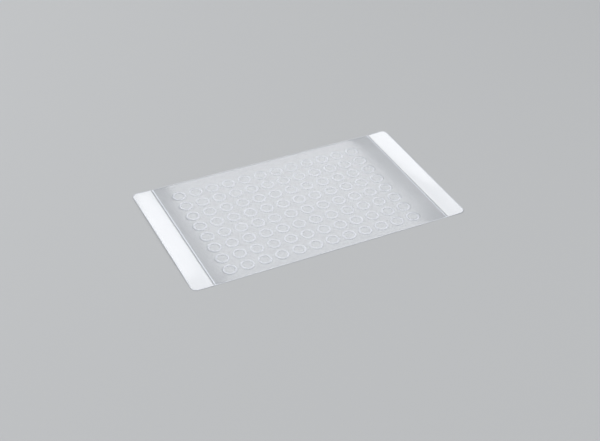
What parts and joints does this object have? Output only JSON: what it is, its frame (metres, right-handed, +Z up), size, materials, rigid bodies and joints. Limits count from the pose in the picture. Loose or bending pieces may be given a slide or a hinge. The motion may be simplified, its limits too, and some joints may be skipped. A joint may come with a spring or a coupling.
{
  "type": "pcr sealing film",
  "caption": "Clear adhesive sheet that seals the wells of a lab plate, with a white backing strip left under each end as a tear-off tab.",
  "frame": {"origin": "on the floor under the middle of the film, at the bottom centre of its box", "axes": "+X along the film's length towards the tab on the picture's right, +Y across it away from the camera, +Z up, out of the side without glue"},
  "size_m": [0.147, 0.0812, 0.0008],
  "materials": {
    "clear_film": "clear, smooth and glossy",
    "white_backing": "white, smooth, under clear film"
  },
  "bodies": {
    "root": {"clear_film": "clear_film", "left_backing_strip": "white_backing", "right_backing_strip": "white_backing"}
  },
  "joints": []
}
